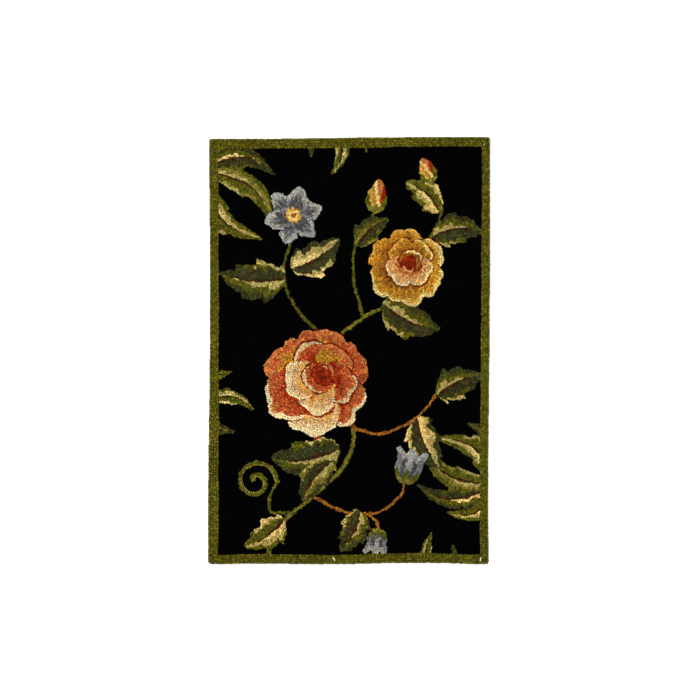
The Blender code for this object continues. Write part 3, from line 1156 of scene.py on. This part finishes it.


# %% [markdown]
# ## The wool
# Wool is matt and fibrous, and its fibres don't take the dye alike. The shader takes each loop's dye
# from the mesh and makes it heathered, with soft patches a millimetre or two wide, which are partly
# heathered fibres and partly painted shade for the shadows between the plies. Fine noise drawn out
# along the strand stands for the fibres, and the slanting ridges of a plied yarn are added as bump.
# The highlight is kept very low: wool scatters light instead of shining, and a black yarn has to
# stay black.

# %% A wool material
def wool(name, shine):
    """Dye times heather and painted ply shade times fibre noise, with ply ridges and fibres as bump."""
    material, tree, shader = new_material(name)
    dye = add_node(tree, "Attribute", "Color", {}, attribute_name="yarn_colour")
    strand = add_node(tree, "UVMap", "UV", {}, uv_map="Yarn")
    drawn_out = add_node(tree, "Mapping", "Vector", {"Vector": strand, "Scale": (0.35, 1.6, 1.0)})
    fibres = add_node(tree, "TexNoise", "Fac", {"Vector": drawn_out, "Scale": 2.2, "Detail": 3.0})
    slant = add_node(tree, "Mapping", "Vector", {"Vector": strand, "Rotation": (0, 0, np.radians(38))})
    plies = add_node(tree, "TexWave", "Fac", {"Vector": slant, "Scale": 0.22, "Distortion": 1.2})
    soft_noise = {"Vector": strand, "Scale": 0.6, "Detail": 0.0}
    # soft patches, partly heathered fibres and partly painted shade between the plies
    heather_and_ply_shade = add_node(tree, "TexNoise", "Fac", soft_noise, noise_dimensions="2D")
    patches = ranged(tree, heather_and_ply_shade, 0.42, 1.58, 0.25, 0.75)
    shade = ranged(tree, fibres, 0.80, 1.16)
    both = add_node(tree, "Math", "Value", {0: patches, 1: shade}, operation="MULTIPLY")
    colour = add_node(tree, "VectorMath", "Vector", {0: dye, "Scale": both}, operation="SCALE")
    relief = add_node(tree, "Math", "Value", {0: plies, 1: 0.6, 2: fibres}, operation="MULTIPLY_ADD")
    bump = add_node(tree, "Bump", "Normal", {"Height": relief, "Strength": 0.55, "Distance": 0.0005})
    fill_inputs(shader, {
        "Base Color": colour, "Roughness": ranged(tree, fibres, 0.86, 1.0), "Normal": bump,
        "Metallic": 0.0, "Specular IOR Level": shine,
    })
    return material


# %% [markdown]
# ## Sort the loops into pieces
# The loops are kept as one piece for each basket of yarn, so that each can be repainted by itself.
# The black ground has more loops than one mesh should hold, and is cut across into bands.

# %% Make every piece of loops
Basket = namedtuple("Basket", "name slot bands shine")
BASKETS = (
    Basket("ground", "black_wool", 3, 0.02),
    Basket("border", "olive_wool", 1, 0.08),
    Basket("leaf", "leaf_wool", 1, 0.08),
    Basket("coral", "coral_wool", 1, 0.08),
    Basket("amber", "amber_wool", 1, 0.08),
    Basket("blue", "blue_wool", 1, 0.08),
)
basket_of = np.array([[basket.name for basket in BASKETS].index(yarn.basket) for yarn in YARNS])


def stand_in(piece):
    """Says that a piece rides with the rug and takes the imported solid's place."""
    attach(piece, "root")
    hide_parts("rug")


for number, basket in enumerate(BASKETS):
    mine = np.flatnonzero(alive & (basket_of[yarns] == number))
    mine = mine[np.argsort(moved[mine, 1])]
    material = wool(f"{basket.name}_wool", basket.shine)
    for band, chosen in enumerate(np.array_split(mine, basket.bands)):
        name = f"{basket.name}_loops" + (f"_{band + 1}" if basket.bands > 1 else "")
        piece = make_loops(name, chosen, material)
        stand_in(piece)
        print(name, "loops:", len(chosen), "triangles:", len(chosen) * FACES_PER_LOOP)

# %% [markdown]
# ## The canvas
# Under the loops lies the woven canvas they are pulled through. It shows only from below, and a
# little between loops that have parted. It is one closed sheet: a profile that runs in under the
# hem, up its edge and back over the top, carried round the outline.

# %% Weave the canvas
CANVAS_TOP = 2.0
CANVAS_INSET = 1.4
HEM = 0.7
CANVAS_PROFILE = (
    (CANVAS_INSET + HEM, 0.0), (CANVAS_INSET, HEM),
    (CANVAS_INSET, CANVAS_TOP - HEM), (CANVAS_INSET + HEM, CANVAS_TOP),
)


def tube_faces(rings, count):
    """Belts of four-sided faces, from each ring of a count of points to the next."""
    here = np.arange(count)
    after = (here + 1) % count
    belts = [
        np.stack([start + here, start + after, start + count + after, start + count + here], 1)
        for start in count * np.arange(rings - 1)
    ]
    return np.concatenate(belts).tolist()


def new_piece(name, places, faces, material):
    """A piece of points in millimetres and of faces between them."""
    mesh = bpy.data.meshes.new(name)
    mesh.from_pydata(places * MM, [], faces)
    mesh.update()
    mesh.materials.append(material)
    return new_object(name, mesh)


def make_canvas():
    """Rings of the outline, drawn in by an inset and set at a height: under the hem, at the hem,
    at the edge, and over the top. The two open ends are closed by flat faces."""
    outline = rim[np.argsort(np.arctan2(rim[:, 1], rim[:, 0])), :2]
    rings = [
        np.column_stack([outline * (1 - deep / REACH), np.full(len(outline), height)])
        for deep, height in CANVAS_PROFILE
    ]
    below = np.arange(len(outline))
    above = below + (len(rings) - 1) * len(outline)
    faces = [*tube_faces(len(rings), len(outline)), below[::-1].tolist(), above.tolist()]
    return new_piece("canvas", np.concatenate(rings), faces, canvas_material())


def canvas_material():
    """Unbleached thread: two waves at right angles for the weave, and noise for uneven threads."""
    material, tree, shader = new_material("canvas_weave")
    place = add_node(tree, "TexCoord", "Object", {})
    threads = {"Vector": place, "Scale": 170.0, "Distortion": 0.6}
    warp, weft = (
        add_node(tree, "TexWave", "Fac", threads, bands_direction=direction) for direction in ("X", "Y")
    )
    weave = add_node(tree, "Math", "Value", {0: warp, 1: weft}, operation="MAXIMUM")
    slubs = add_node(tree, "TexNoise", "Fac", {"Vector": place, "Scale": 160.0})
    shades = {"Factor": slubs, "A": (0.20, 0.165, 0.11, 1), "B": (0.36, 0.30, 0.21, 1)}
    colour = add_node(tree, "Mix", "Result", shades, data_type="RGBA")
    bump = add_node(tree, "Bump", "Normal", {"Height": weave, "Strength": 0.7, "Distance": 0.0006})
    fill_inputs(shader, {
        "Base Color": colour, "Roughness": 0.95, "Specular IOR Level": 0.1, "Normal": bump,
    })
    return material


canvas = make_canvas()
stand_in(canvas)
print("canvas faces:", len(canvas.data.polygons))

# %% [markdown]
# ## Ends of thread
# Three short ends of pale thread have come through the border: two slanting ones near the bottom
# edge, and a thin one in the top right corner. Each is an arch that comes up out of the pile and
# goes down into it again. The table gives the middle of each, its turn, its length and its
# thickness, in millimetres and degrees.

# %% Lay the ends of thread
ThreadEnd = namedtuple("ThreadEnd", "x y turn length thick")
THREAD_ENDS = (
    ThreadEnd(-27.2, -375.3, -60, 9.6, 2.5),
    ThreadEnd(236.8, -376.0, 80, 9.0, 2.1),
    ThreadEnd(243.6, 371.6, 58, 5.0, 0.8),
)
THREAD_STEPS, THREAD_AROUND = 8, 8


def thread_points(thread):
    """A tube along an arch whose height is a parabola, a thread's thickness tall. Its radius is a
    power of the sine of the share along it, so that both ends close in a point."""
    share = np.linspace(0, 1, THREAD_STEPS + 1)[1:-1]
    turn = np.radians(thread.turn)
    away = thread.length * (share - 0.5)
    radius = 0.5 * thread.thick * np.sin(np.pi * share) ** 0.4
    angle = 2 * np.pi * np.arange(THREAD_AROUND) / THREAD_AROUND
    sideways = radius[:, None] * np.cos(angle)
    middle_x, middle_y = thread.x + away * np.cos(turn), thread.y + away * np.sin(turn)
    x = middle_x[:, None] - sideways * np.sin(turn)
    y = middle_y[:, None] + sideways * np.cos(turn)
    low = pile_top(np.array([thread.x]), np.array([thread.y])) - 0.5 * thread.thick
    arch = low + 0.5 * thread.thick * (1 - (2 * share - 1) ** 2)
    z = arch[:, None] + radius[:, None] * np.sin(angle)
    ends = [
        (thread.x + reach * np.cos(turn), thread.y + reach * np.sin(turn), low[0])
        for reach in (-0.5 * thread.length, 0.5 * thread.length)
    ]
    return np.vstack([np.stack([x, y, z], -1).reshape(-1, 3), ends])


def thread_faces():
    """The tube's belts, and a fan of triangles at each end."""
    rings = THREAD_STEPS - 1
    last = (rings - 1) * THREAD_AROUND
    start, end = rings * THREAD_AROUND, rings * THREAD_AROUND + 1
    here = np.arange(THREAD_AROUND)
    after = (here + 1) % THREAD_AROUND
    fans = [
        np.stack([0 * here + start, after, here], 1),
        np.stack([0 * here + end, last + here, last + after], 1),
    ]
    return tube_faces(rings, THREAD_AROUND) + np.concatenate(fans).tolist()


def thread_material():
    """Unbleached cotton, with a fine slanting twist as bump."""
    material, tree, shader = new_material("pale_thread")
    place = add_node(tree, "TexCoord", "Object", {})
    slanting = {"Vector": place, "Scale": 350.0}
    twist = add_node(tree, "TexWave", "Fac", slanting, bands_direction="DIAGONAL")
    bump = add_node(tree, "Bump", "Normal", {"Height": twist, "Strength": 0.4, "Distance": 0.0002})
    fill_inputs(shader, {
        "Base Color": (0.80, 0.76, 0.50, 1), "Roughness": 0.85, "Specular IOR Level": 0.1,
        "Normal": bump,
    })
    return material


def make_threads():
    """One mesh of all the thread ends."""
    places = [thread_points(thread) for thread in THREAD_ENDS]
    faces = [
        [corner + k * len(places[0]) for corner in face]
        for k in range(len(places))
        for face in thread_faces()
    ]
    piece = new_piece("thread_ends", np.vstack(places), faces, thread_material())
    piece.data.shade_smooth()
    return piece


threads = make_threads()
stand_in(threads)
print("thread ends:", len(THREAD_ENDS), "faces:", len(threads.data.polygons))

# %% [markdown]
# ## Floor, light and camera
# The rug was photographed square on against plain white, so the camera hangs straight above its
# middle with a long lens, which keeps the outline true. The light is broad and soft, a little
# stronger from the upper left, so that each loop has a lit side and the gaps between loops go dark.

# %% Set the stage
PIXEL = 1.801 * MM  # a photograph's pixel on the rug
FRAME_PIXELS = 700
RUG_MIDDLE_PIXEL = (349.02, 350.70)
CAMERA_HEIGHT = 4.0


def make_floor():
    """A plain white square on which the rug lies, lit a little from within like a light table, so
    that no shadow greys it beside the rug."""
    size, low = 6.0, -0.0003
    square = [(-size, -size, low), (size, -size, low), (size, size, low), (-size, size, low)]
    mesh = bpy.data.meshes.new("floor")
    mesh.from_pydata(square, [], [(0, 1, 2, 3)])
    paper, _, shader = new_material("floor_white")
    fill_inputs(shader, {
        "Base Color": (0.95, 0.95, 0.95, 1), "Roughness": 0.9, "Specular IOR Level": 0.1,
        "Emission Color": (1, 1, 1, 1), "Emission Strength": 0.35,
    })
    mesh.materials.append(paper)
    return new_object("floor", mesh)


def make_lamp(name, place, size, watts):
    """A square soft lamp that faces the rug's middle."""
    data = bpy.data.lights.new(name, "AREA")
    data.size = size
    data.energy = watts
    lamp = new_object(name, data)
    lamp.location = place
    lamp.rotation_euler = (-lamp.location).to_track_quat("-Z", "Y").to_euler()
    return lamp


def make_camera():
    """Hangs over the photograph's centre. The lens is chosen so that the frame's pixels have their
    size on the rug."""
    data = bpy.data.cameras.new("camera")
    data.sensor_width = 36.0
    data.lens = data.sensor_width * (CAMERA_HEIGHT - PILE_TOP * MM) / (FRAME_PIXELS * PIXEL)
    data.clip_end = 50
    camera = new_object("camera", data)
    right = (FRAME_PIXELS / 2 - RUG_MIDDLE_PIXEL[0]) * PIXEL
    up = (RUG_MIDDLE_PIXEL[1] - FRAME_PIXELS / 2) * PIXEL
    camera.location = (right, up, CAMERA_HEIGHT)
    return camera


make_floor()
make_lamp("key", (-1.3, 1.2, 2.2), 1.4, 52)
make_lamp("fill", (1.6, -1.0, 2.6), 2.2, 30)
bpy.context.scene.camera = make_camera()

world = bpy.data.worlds.new("studio")
world.use_nodes = True
fill_inputs(world.node_tree.nodes["Background"], {"Color": (1, 1, 1, 1), "Strength": 0.62})
bpy.context.scene.world = world
bpy.context.scene.view_settings.view_transform = "Standard"
print("lens in mm:", round(bpy.context.scene.camera.data.lens, 1))
